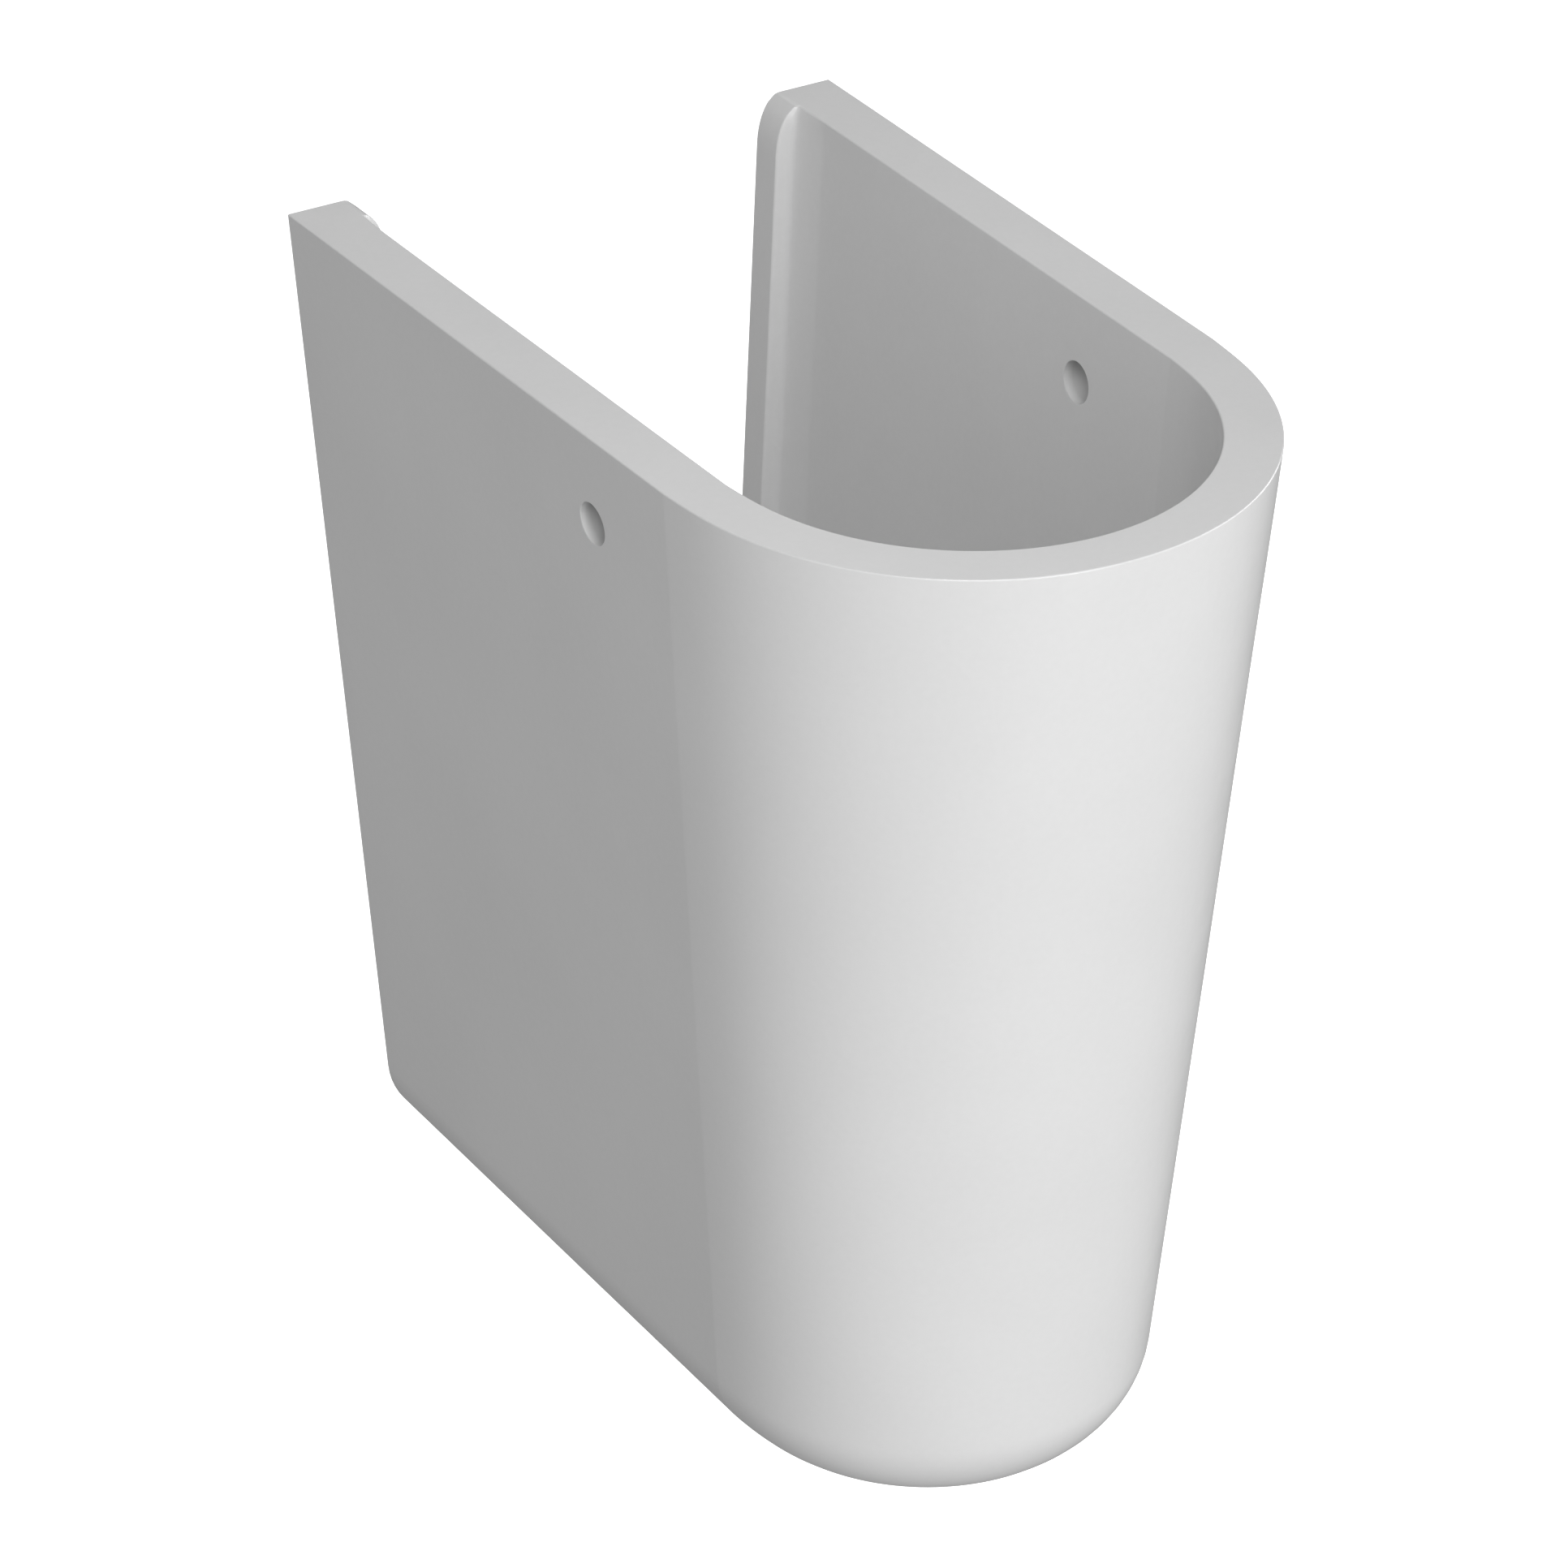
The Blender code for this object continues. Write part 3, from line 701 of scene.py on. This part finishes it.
def make_plug(label, side):
    """A nylon plug: a collar, gripping rings, four grooves where it splits, and two wings."""
    node = f"{label}_wall_plug"
    radius, nearest, furthest = along_stud(node)
    collar = -6.0 * MM
    bore = 3.7 * MM
    groove_depth = 0.9 * MM
    groove_half_angle = 0.12
    wing_height = 0.6 * MM
    wing_half_angle = 0.09
    wing_share = 0.45  # of the length below the collar
    edge = 0.4 * MM
    end_wall = 3.0 * MM  # how much solid nylon closes the far end
    tip_length = 2.0 * MM
    skin = 1.2 * MM  # only what lies this close to the surface is grooved or winged
    rings = 9
    # Each ring's profile: its depth under the plug's surface in mm, and how far along the ring that is.
    ring_profile = ((0.8, 0.15), (0.7, 0.35), (0.1, 0.90), (0.0, 0.97))

    def plug_radius(r, distance, angle):
        if r < radius - skin or distance > collar:
            return r
        from_groove = abs((angle + 0.25 * math.pi) % (0.5 * math.pi) - 0.25 * math.pi)
        if from_groove < groove_half_angle:
            return r - groove_depth
        from_wing = abs((angle - 0.25 * math.pi) % math.pi - 0.5 * math.pi)
        along = (distance - collar) / (nearest - collar)
        if from_wing < wing_half_angle and along < wing_share:
            return r + wing_height * (1.0 - along / wing_share)
        return r

    inner_end = nearest + end_wall
    profile = [(0.0, inner_end), (bore, inner_end), (bore, furthest - edge)]
    profile += arc(bore + edge, furthest - edge, edge, 0.5 * math.pi)[::-1]
    profile += arc(radius - edge, furthest - edge, edge, 0.0)[::-1]
    profile.append((radius, collar + 0.1 * MM))
    length = (collar - nearest - tip_length) / rings
    for i in range(rings):
        top = collar - length * i
        profile += [(radius - depth * MM, top - along * length) for depth, along in ring_profile]
    profile += [(radius - 0.8 * MM, nearest + 0.8 * MM), (radius - 1.3 * MM, nearest), (0.0, nearest)]
    return turned(f"{node}_ribbed", side, profile, 2 * SMOOTH_STEPS, False, plug_radius), node


def make_sleeve(label, side):
    """A flanged nylon sleeve with rounded edges and a small fillet under its flange."""
    node = f"{label}_sleeve"
    radius, nearest, furthest = along_stud(node)
    bore = 4.4 * MM
    tube = 7.0 * MM
    flange_back = furthest - 3.0 * MM
    fillet = 0.6 * MM
    dip = 0.25 * fillet
    profile = arc(bore + SMALL_EDGE, nearest + SMALL_EDGE, SMALL_EDGE, math.pi)
    profile += arc(tube - SMALL_EDGE, nearest + SMALL_EDGE, SMALL_EDGE, 1.5 * math.pi)
    profile += [(tube, flange_back - fillet), (tube + dip, flange_back - dip), (tube + fillet, flange_back)]
    profile += arc(radius - SMALL_EDGE, flange_back + SMALL_EDGE, SMALL_EDGE, 1.5 * math.pi)
    profile += arc(radius - SMALL_EDGE, furthest - SMALL_EDGE, SMALL_EDGE, 0.0)
    profile += arc(bore + SMALL_EDGE, furthest - SMALL_EDGE, SMALL_EDGE, 0.5 * math.pi)
    return turned(f"{node}_moulded", side, profile, SMOOTH_STEPS, True), node


def make_washer(label, side):
    """A stamped washer: the front edge rolled by the punch, the back edge nearly sharp."""
    node = f"{label}_washer"
    radius, nearest, furthest = along_stud(node)
    bore = 4.3 * MM
    rolled = 0.6 * MM
    crisp = 0.12 * MM
    profile = arc(bore + crisp, nearest + crisp, crisp, math.pi)
    profile += arc(radius - crisp, nearest + crisp, crisp, 1.5 * math.pi)
    profile += arc(radius - rolled, furthest - rolled, rolled, 0.0)
    profile += arc(bore + rolled, furthest - rolled, rolled, 0.5 * math.pi)
    return turned(f"{node}_stamped", side, profile, SMOOTH_STEPS, True), node


def make_nut(label, side):
    """A hexagon nut: chamfered corners on both faces and a threaded bore."""
    node = f"{label}_nut"
    corner, nearest, furthest = along_stud(node)
    flat = corner * math.cos(math.pi / 6.0)
    face_radius = flat - 0.15 * MM
    chamfer = 0.9 * MM
    chamfer_rows = 6
    row_spacing = 1.0 * MM
    blunting = 0.12 * MM  # how much of each corner is worn away
    slope = (corner - face_radius) / chamfer
    bore_edge = THREAD_RADIUS + 0.35 * MM

    def nut_radius(r, distance, angle):
        if r < bore_edge:
            cut = THREAD_DEPTH * zigzag(distance, angle, THREAD_PITCH)
            return THREAD_CLEARANCE + THREAD_RADIUS - cut
        if r < face_radius:
            return r
        sixth = math.pi / 3.0
        from_flat = (angle + 0.5 * math.pi + 0.5 * sixth) % sixth - 0.5 * sixth
        hexagon = min(flat / math.cos(from_flat), corner - blunting)
        depth = min(distance - nearest, furthest - distance)
        return min(hexagon, face_radius + slope * depth)

    profile = [(bore_edge, nearest), (face_radius, nearest)]
    depths = [chamfer * i / chamfer_rows for i in range(1, chamfer_rows + 1)]
    side_rows = [nearest + depth for depth in depths]
    side_rows += evenly(side_rows[-1], furthest - chamfer, row_spacing)
    side_rows += [furthest - depth for depth in reversed(depths)]
    profile += [(corner, distance) for distance in side_rows]
    profile += [(face_radius, furthest), (bore_edge, furthest)]
    thread = evenly(furthest, nearest, THREAD_PITCH / ROWS_PER_TURN)
    profile += [(THREAD_RADIUS, distance) for distance in thread]
    return turned(f"{node}_chamfered", side, profile, 3 * THREAD_STEPS, True, nut_radius), node


def make_cap(label, side):
    """A domed push-on cap with a bead round its mouth and finger notches round its skirt."""
    node = f"{label}_cap"
    radius, nearest, furthest = along_stud(node)
    skin = 1.8 * MM
    shoulder = nearest + 9.5 * MM
    bead = 0.5 * MM
    bead_top = nearest + 1.2 * MM
    skirt = nearest + 1.5 * MM
    row_spacing = 0.8 * MM
    notches = 16
    notch_depth = 0.35 * MM
    notch_margin = 0.1 * MM  # a row nearer than this to the skirt's lower end isn't notched

    def cap_radius(r, distance, angle):
        between = skirt + notch_margin < distance < shoulder - row_spacing
        if not between or r < radius - 0.5 * skin:
            return r
        return r - notch_depth * max(0.0, math.cos(notches * angle)) ** 2

    outer = radius - 0.3 * MM
    profile = [(0.0, furthest - skin)]
    for turn in quarter_turn(ROUND_STEPS, first=1):
        depth = (furthest - skin - shoulder) * (1.0 - math.cos(turn))
        profile.append(((radius - skin) * math.sin(turn), furthest - skin - depth))
    profile.append((radius - skin, nearest + bead))
    profile += arc(radius - skin + bead, nearest + bead, bead, math.pi)
    profile += arc(radius - bead, nearest + bead, bead, 1.5 * math.pi)
    profile += [(radius, bead_top), (outer, skirt)]
    profile += [(outer, distance) for distance in evenly(skirt, shoulder, row_spacing)]
    for turn in reversed(quarter_turn(2 * ROUND_STEPS, first=1)):
        depth = (furthest - shoulder) * (1.0 - math.cos(turn))
        profile.append((outer * math.sin(turn), furthest - depth))
    profile.append((0.0, furthest))
    return turned(f"{node}_domed", side, profile, 2 * SMOOTH_STEPS, False, cap_radius), node


# ---------------------------------------------------------------- materials


class Finish:
    """A Principled material whose colour, roughness and relief come from procedural textures."""

    def __init__(self, name):
        self.material = bpy.data.materials.new(name)
        self.material.use_nodes = True
        self.tree = self.material.node_tree
        self.shader = self.tree.nodes["Principled BSDF"]
        self.place = self.node("ShaderNodeTexCoord").outputs["Object"]
        self.relief = None

    def node(self, kind, **settings):
        made = self.tree.nodes.new(kind)
        for key, value in settings.items():
            setattr(made, key, value)
        return made

    def set(self, **values):
        for key, value in values.items():
            self.shader.inputs[key.replace("_", " ")].default_value = value

    def stretched(self, scale):
        """Object coordinates stretched by a scale along each axis."""
        mapping = self.node("ShaderNodeMapping")
        mapping.inputs["Scale"].default_value = scale
        self.tree.links.new(self.place, mapping.inputs["Vector"])
        return mapping.outputs["Vector"]

    def noise(self, per_metre, detail=3.0, place=None):
        made = self.node("ShaderNodeTexNoise")
        made.inputs["Scale"].default_value = per_metre
        made.inputs["Detail"].default_value = detail
        self.tree.links.new(place or self.place, made.inputs["Vector"])
        return made.outputs["Fac"]

    def ramp(self, source, low, high, first, last):
        """The source, from low to high, spread over the colours from first to last."""
        made = self.node("ShaderNodeValToRGB")
        elements = made.color_ramp.elements
        elements[0].position, elements[1].position = low, high
        elements[0].color, elements[1].color = (*first, 1.0), (*last, 1.0)
        self.tree.links.new(source, made.inputs["Fac"])
        return made.outputs["Color"]

    def multiply(self, first, second):
        made = self.node("ShaderNodeMix", data_type="RGBA", blend_type="MULTIPLY")
        made.inputs["Factor"].default_value = 1.0
        self.tree.links.new(first, made.inputs["A"])
        self.tree.links.new(second, made.inputs["B"])
        return made.outputs["Result"]

    def colour(self, source):
        self.tree.links.new(source, self.shader.inputs["Base Color"])

    def spread(self, source, low, high, first, last):
        """The source, from low to high, spread over the values from first to last."""
        made = self.node("ShaderNodeMapRange")
        for name, value in (("From Min", low), ("From Max", high), ("To Min", first), ("To Max", last)):
            made.inputs[name].default_value = value
        self.tree.links.new(source, made.inputs["Value"])
        return made.outputs["Result"]

    def distance_from(self, source, value):
        """How far the source lies from a value, on either side of it."""
        offset = self.node("ShaderNodeMath", operation="SUBTRACT")
        offset.inputs[1].default_value = value
        size = self.node("ShaderNodeMath", operation="ABSOLUTE")
        self.tree.links.new(source, offset.inputs[0])
        self.tree.links.new(offset.outputs["Value"], size.inputs[0])
        return size.outputs["Value"]

    def roughness(self, source, smooth, rough):
        self.tree.links.new(self.spread(source, 0.3, 0.7, smooth, rough), self.shader.inputs["Roughness"])

    def bump(self, source, height, strength=1.0):
        """Adds relief of a height in metres, on top of any relief added before."""
        made = self.node("ShaderNodeBump")
        made.inputs["Strength"].default_value = strength
        made.inputs["Distance"].default_value = height
        self.tree.links.new(source, made.inputs["Height"])
        if self.relief:
            self.tree.links.new(self.relief, made.inputs["Normal"])
        self.relief = made.outputs["Normal"]
        self.tree.links.new(self.relief, self.shader.inputs["Normal"])


def glazed_china():
    """White glaze: a little uneven in tone, with a fine orange-peel skin."""
    finish = Finish("white_glaze")
    finish.set(IOR=1.5, Coat_Weight=0.22, Coat_Roughness=0.10)
    broad = finish.ramp(finish.noise(9.0), 0.35, 0.65, (0.80, 0.80, 0.80), (0.83, 0.83, 0.83))
    fine = finish.ramp(finish.noise(420.0), 0.30, 0.70, (0.985, 0.985, 0.985), (1.0, 1.0, 1.0))
    finish.colour(finish.multiply(broad, fine))
    finish.roughness(finish.noise(60.0, detail=5.0), 0.16, 0.26)
    finish.bump(finish.noise(45.0, detail=1.0), 0.05 * MM, strength=0.35)
    finish.bump(finish.noise(620.0, detail=2.0), 0.006 * MM, strength=0.5)
    return finish.material


def bare_china():
    """Unglazed fired body, where the glaze was wiped off for the kiln or ground flat."""
    finish = Finish("bare_china")
    finish.set(IOR=1.5, Specular_IOR_Level=0.3)
    broad = finish.ramp(finish.noise(70.0), 0.3, 0.7, (0.66, 0.64, 0.60), (0.74, 0.73, 0.70))
    grain = finish.ramp(finish.noise(2600.0), 0.35, 0.65, (0.92, 0.92, 0.92), (1.0, 1.0, 1.0))
    finish.colour(finish.multiply(broad, grain))
    finish.roughness(finish.noise(900.0), 0.78, 0.92)
    finish.bump(finish.noise(1500.0, detail=5.0), 0.05 * MM, strength=0.6)
    return finish.material


def painted_bore_shade():
    """Inside the side holes: painted shade, a grey darker than the glaze, lightest near each mouth and
    darkest halfway through the wall.
    """
    finish = Finish("bore_painted_shade")
    finish.set(IOR=1.5, Specular_IOR_Level=0.2)
    z = HEIGHT - HOLE_BELOW_RIM
    outer = side_x(z, 0.0, HOLE_FROM_WALL)
    inner = side_x(z, thickness(z), HOLE_FROM_WALL)
    half_length = 0.5 * (outer - inner)
    split = finish.node("ShaderNodeSeparateXYZ")
    finish.tree.links.new(finish.place, split.inputs["Vector"])
    off_centreline = finish.distance_from(split.outputs["X"], 0.0)
    off_middle = finish.distance_from(off_centreline, 0.5 * (outer + inner))
    # Painted shade: dark grey through the middle of the bore, lighter grey towards each mouth.
    lighter_towards_mouth = finish.spread(off_middle, half_length - BORE_SHADE_DARKEST, half_length - BORE_SHADE_START, 0.0, 1.0)
    finish.colour(finish.ramp(lighter_towards_mouth, 0.0, 1.0, (0.50, 0.50, 0.50), (0.66, 0.66, 0.66)))
    finish.roughness(finish.noise(900.0), 0.55, 0.80)
    finish.bump(finish.noise(1500.0, detail=5.0), 0.05 * MM, strength=0.5)
    return finish.material


def zinc_steel():
    """Zinc-plated steel: slightly blotched, with fine turning marks across the axis."""
    finish = Finish("zinc_plate")
    finish.set(Metallic=1.0, Specular_IOR_Level=0.5)
    blotches = finish.noise(260.0, detail=4.0)
    finish.colour(finish.ramp(blotches, 0.3, 0.7, (0.52, 0.54, 0.56), (0.68, 0.68, 0.66)))
    finish.roughness(finish.noise(800.0), 0.24, 0.44)
    marks = finish.noise(1.0, detail=2.0, place=finish.stretched((300.0, 9000.0, 300.0)))
    finish.bump(marks, 0.01 * MM, strength=0.5)
    return finish.material


def grey_nylon():
    """Moulded nylon: satin, faintly mottled, with a fine spark-eroded texture."""
    finish = Finish("moulded_nylon")
    finish.set(IOR=1.53)
    finish.colour(finish.ramp(finish.noise(320.0), 0.3, 0.7, (0.38, 0.39, 0.40), (0.46, 0.47, 0.48)))
    finish.roughness(finish.noise(1400.0), 0.42, 0.60)
    finish.bump(finish.noise(4200.0, detail=2.0), 0.02 * MM, strength=0.5)
    return finish.material


def white_plastic():
    """Moulded white plastic: glossy, with faint flow marks."""
    finish = Finish("white_cap_plastic")
    finish.set(IOR=1.49)
    flow = finish.noise(1.0, detail=2.0, place=finish.stretched((300.0, 70.0, 300.0)))
    finish.colour(finish.ramp(flow, 0.3, 0.7, (0.79, 0.79, 0.78), (0.84, 0.84, 0.83)))
    finish.roughness(finish.noise(700.0), 0.18, 0.30)
    finish.bump(finish.noise(1800.0, detail=1.0), 0.01 * MM, strength=0.4)
    return finish.material


def in_bore(point, holes):
    """Whether a point of the shroud lies on the bore of one of the side holes."""
    for centre, outward, _, _ in holes:
        along = outward * (point - centre).dot(outward)
        across = point - centre - along
        if along.length < WALL and across.length < HOLE_RADIUS + 0.5 * HOLE_MOUTH:
            return True
    return False


def paint_shroud(shroud):
    """Glaze all over, but raw body on the wall faces and where the foot stood in the kiln, and painted
    shade in the bores.
    """
    shroud.data.materials.clear()
    for finish in (glazed_china(), bare_china(), painted_bore_shade()):
        shroud.data.materials.append(finish)
    glazed, bare, bore = range(3)
    holes = [hole_frame(side) for side in (-1.0, 1.0)]
    for face in shroud.data.polygons:
        on_wall = face.normal.y > SQUARE_ON and face.center.y > -WALL_FACE_DEPTH
        on_foot = face.normal.z < -SQUARE_ON and face.center.z < FOOT_FACE_DEPTH
        face.material_index = bare if on_wall or on_foot else glazed
        # Painted shade: the bores take the dark grey material that stands in for the shade inside them.
        if in_bore(face.center, holes):
            face.material_index = bore


# ---------------------------------------------------------------- the object


def place_piece(piece, node, body):
    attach(piece, body)
    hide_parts(node)


def build_object():
    shroud = make_shroud()
    paint_shroud(shroud)
    place_piece(shroud, "ceramic_shroud", "shroud")
    finishes = {"zinc_steel": zinc_steel(), "grey_nylon": grey_nylon(), "white_plastic": white_plastic()}
    kinds = (
        (make_plug, "wall_fixings", "grey_nylon"),
        (make_stud, "wall_fixings", "zinc_steel"),
        (make_sleeve, "wall_fixings", "grey_nylon"),
        (make_washer, "{}_washer", "zinc_steel"),
        (make_nut, "{}_nut", "zinc_steel"),
        (make_cap, "{}_cap", "white_plastic"),
    )
    for side, label in ((-1.0, "left"), (1.0, "right")):
        for make, body, slot in kinds:
            piece, node = make(label, side)
            piece.data.materials.append(finishes[slot])
            shade(piece, angle=40.0)
            place_piece(piece, node, body.format(label))


# ---------------------------------------------------------------- floor, camera and light

FLOOR_DROP = 450.0 * MM  # a half pedestal hangs this far above the floor
FLOOR_HALF_SIDE = 30.0

VIEW_AZIMUTH = math.radians(-31.65)
VIEW_ELEVATION = math.radians(30.57)
VIEW_DISTANCE = 1.9
VIEW_TARGET = Vector((0.02501, -0.09420, 0.15680))
VIEW_LENS = 132.2  # focal length and sensor width in mm
VIEW_SENSOR = 36.0
VIEW_CLIP_END = 30.0

# A ring of soft lights, each aimed at the middle of the object.
LIGHT_TARGET = Vector((0.0, -0.16, 0.20))
LIGHT_DISTANCE = 2.6
LIGHT_SIZE = 1.3
# name: azimuth and elevation in degrees, power in watts
LIGHTS = {
    "front": (0.0, 15.0, 12.2),
    "front_low": (0.0, -15.0, 14.1),
    "front_left": (-30.0, 15.0, 5.9),
    "front_high": (-30.0, 45.0, 25.1),
    "side": (90.0, 15.0, 18.6),
    "side_front": (60.0, 15.0, 8.3),
    "rear": (180.0, 15.0, 1.0),
    "rear_high": (150.0, 45.0, 3.0),
}
WORLD_STRENGTH = 0.281


def direction(azimuth, elevation):
    """The unit vector from the object towards a camera or a light; azimuth 0 is straight in front."""
    flat = math.cos(elevation)
    return Vector((math.sin(azimuth) * flat, -math.cos(azimuth) * flat, math.sin(elevation)))


def make_camera():
    data = bpy.data.cameras.new("camera")
    data.lens = VIEW_LENS
    data.sensor_width = VIEW_SENSOR
    data.clip_end = VIEW_CLIP_END
    camera = link("camera", data)
    towards = direction(VIEW_AZIMUTH, VIEW_ELEVATION)
    camera.location = VIEW_TARGET + towards * VIEW_DISTANCE
    camera.rotation_euler = (0.5 * math.pi - VIEW_ELEVATION, 0.0, VIEW_AZIMUTH)
    bpy.context.scene.camera = camera


def make_light(name, azimuth, elevation, power):
    data = bpy.data.lights.new(name, "AREA")
    data.shape = "DISK"
    data.size = LIGHT_SIZE
    data.energy = power
    light = link(name, data)
    towards = direction(math.radians(azimuth), math.radians(elevation))
    light.location = LIGHT_TARGET + towards * LIGHT_DISTANCE
    light.rotation_euler = towards.to_track_quat("Z", "Y").to_euler()


def make_world():
    world = bpy.data.worlds.new("studio")
    world.use_nodes = True
    background = world.node_tree.nodes["Background"]
    background.inputs["Color"].default_value = (1.0, 1.0, 1.0, 1.0)
    background.inputs["Strength"].default_value = WORLD_STRENGTH
    bpy.context.scene.world = world


def make_floor():
    """A pale floor that the camera sees, but that neither blocks the low lights nor lights the object."""
    bm = bmesh.new()
    bmesh.ops.create_grid(bm, x_segments=8, y_segments=8, size=FLOOR_HALF_SIDE)
    floor = link("floor", mesh_from("floor", bm))
    floor.location.z = -FLOOR_DROP
    finish = bpy.data.materials.new("pale_floor")
    finish.use_nodes = True
    shader = finish.node_tree.nodes["Principled BSDF"]
    shader.inputs["Base Color"].default_value = (0.9, 0.9, 0.9, 1.0)
    shader.inputs["Roughness"].default_value = 0.9
    shader.inputs["Emission Color"].default_value = (1.0, 1.0, 1.0, 1.0)
    shader.inputs["Emission Strength"].default_value = 1.0
    floor.data.materials.append(finish)
    floor.visible_diffuse = False
    floor.visible_glossy = False
    floor.visible_shadow = False


def main():
    build_object()
    make_floor()
    make_camera()
    make_world()
    for name, values in LIGHTS.items():
        make_light(name, *values)
    bpy.context.scene.view_settings.view_transform = "Standard"


main()
